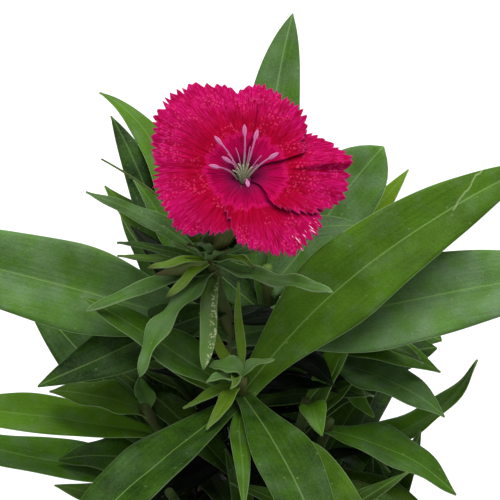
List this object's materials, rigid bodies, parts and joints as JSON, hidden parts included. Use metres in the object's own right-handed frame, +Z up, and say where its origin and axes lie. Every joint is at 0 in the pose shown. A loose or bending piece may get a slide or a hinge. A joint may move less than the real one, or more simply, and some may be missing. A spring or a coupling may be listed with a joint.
{
  "type": "potted dianthus",
  "caption": "Bushy dianthus in a round tapered nursery pot, with tufts of lance-shaped leaves and a fringed, flat-faced flower on a short stem above them.",
  "frame": {"origin": "centre of the pot's base, on the surface it stands on", "axes": "+Z up along the pot's axis; the flower's face leans toward -Y, and the two longest leaves reach out along -X and +X"},
  "size_m": [0.1728, 0.1556, 0.2238],
  "materials": {
    "pot_plastic": "satin moulded black polypropylene",
    "peat": "loose damp peat compost",
    "foliage": "satin grey-green leaves with a fine bloom",
    "petals": "velvety magenta petals",
    "stamens": "pale pink and lilac, dusty"
  },
  "bodies": {
    "root": {"pot": "pot_plastic", "potting_soil": "peat", "flower_stem": "foliage", "shoot_centre": "foliage", "shoot_back": "foliage", "shoot_back_left": "foliage", "shoot_left": "foliage", "shoot_front_left": "foliage", "shoot_front_right": "foliage", "shoot_young": "foliage", "shoot_right": "foliage", "shoot_far_right": "foliage", "shoot_far_back": "foliage", "shoot_far_left": "foliage", "shoot_front": "foliage", "shoot_low_right": "foliage", "corolla": "petals", "stamens": "stamens"}
  },
  "joints": []
}
